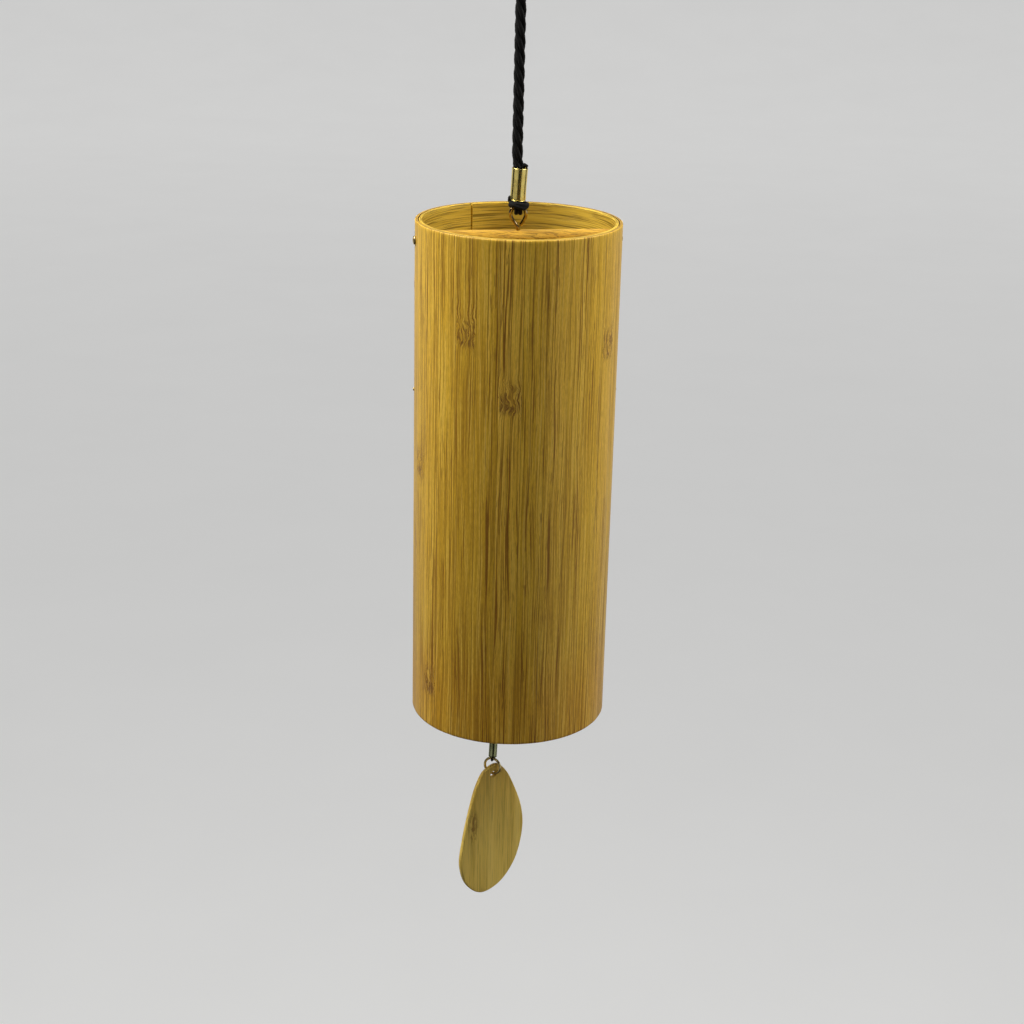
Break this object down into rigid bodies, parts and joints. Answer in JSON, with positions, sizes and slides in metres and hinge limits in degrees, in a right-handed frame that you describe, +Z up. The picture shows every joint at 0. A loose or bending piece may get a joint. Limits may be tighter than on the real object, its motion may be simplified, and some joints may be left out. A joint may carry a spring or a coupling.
{
  "type": "wind chime",
  "caption": "Hanging wind chime: a bamboo tube with metal rods inside, a clapper on a thread, a leaf-shaped bamboo sail below and a black cord with an eye above.",
  "frame": {"origin": "inside top of the cord's eye, where a hook carries the chime", "axes": "+Z up along the hanging cord; the camera side is -Y; +X to the right"},
  "size_m": [0.0656, 0.0646, 0.3395],
  "materials": {
    "black_cord": "matt twisted cord",
    "thread": "waxed thread",
    "brass": "polished",
    "dull_brass": "satin",
    "bamboo_tube": "satin varnish, upright grain",
    "bamboo_lining": "satin, grain round the tube",
    "bamboo_bar": "satin",
    "bamboo_sail": "satin varnish",
    "clapper_wood": "satin",
    "steel_plate": "turned face",
    "steel_rod": "drawn rod"
  },
  "bodies": {
    "hook_eye": {"cord_eye": "black_cord"},
    "cord": {"hanging_cord": "black_cord", "upper_ferrule": "brass", "cord_bight": "black_cord", "cord_wrap": "black_cord"},
    "bail": {"wire_eye": "brass"},
    "housing": {"eye_washer": "brass", "crossbar": "bamboo_bar", "crossbar_nail_left": "brass", "crossbar_nail_right": "brass", "tube_outer_ply": "bamboo_tube", "tube_inner_ply": "bamboo_lining", "sound_plate": "steel_plate", "plate_pin_left": "brass", "plate_pin_right": "brass", "rod_1": "steel_rod", "rod_2": "steel_rod", "rod_3": "steel_rod", "rod_4": "steel_rod", "rod_5": "steel_rod", "rod_6": "steel_rod", "rod_7": "steel_rod", "rod_8": "steel_rod", "anchor_bead": "bamboo_bar"},
    "anchor": {"anchor_knot": "thread", "anchor_thread": "thread"},
    "clapper": {"clapper_thread": "thread", "clapper": "clapper_wood", "clapper_knot": "thread"},
    "line": {"lower_thread": "thread"},
    "crimp": {"crimp_tube": "dull_brass", "thread_loop": "thread"},
    "ring": {"jump_ring": "brass"},
    "sail": {"wind_sail": "bamboo_sail"}
  },
  "joints": [
    {"name": "cord_swing", "type": "hinge", "parent": "hook_eye", "child": "cord", "pos_m": [0, 0, -0.032], "axis": [0, 1, 0], "range_deg": [-45, 45]},
    {"name": "bail_swing", "type": "hinge", "parent": "cord", "child": "bail", "pos_m": [0.0007, 0, -0.0941], "axis": [1, 0, 0], "range_deg": [-45, 45]},
    {"name": "tube_swivel", "type": "hinge", "parent": "bail", "child": "housing", "pos_m": [0.0007, 0, -0.104], "axis": [0, 0, 1], "continuous": true},
    {"name": "clapper_turn", "type": "hinge", "parent": "housing", "child": "anchor", "pos_m": [0.001, 0, -0.1525], "axis": [0, 0, 1], "continuous": true},
    {"name": "clapper_swing", "type": "hinge", "parent": "anchor", "child": "clapper", "pos_m": [0.001, 0, -0.1565], "axis": [0, 1, 0], "range_deg": [-11, 7]},
    {"name": "line_swing", "type": "hinge", "parent": "clapper", "child": "line", "pos_m": [-0.00048, 0, -0.19717], "axis": [1, 0, 0], "range_deg": [-8, 8]},
    {"name": "sail_twist", "type": "hinge", "parent": "line", "child": "crimp", "pos_m": [-0.00346, 0, -0.27912], "axis": [0.0364, 0, 0.9993], "continuous": true},
    {"name": "ring_swing", "type": "hinge", "parent": "crimp", "child": "ring", "pos_m": [-0.00367, 0, -0.28491], "axis": [0.4226, 0.9063, 0], "range_deg": [-22, 22]},
    {"name": "sail_swing", "type": "hinge", "parent": "ring", "child": "sail", "pos_m": [-0.00367, 0, -0.29062], "axis": [0.9063, -0.4226, 0], "range_deg": [-25, 25]}
  ]
}
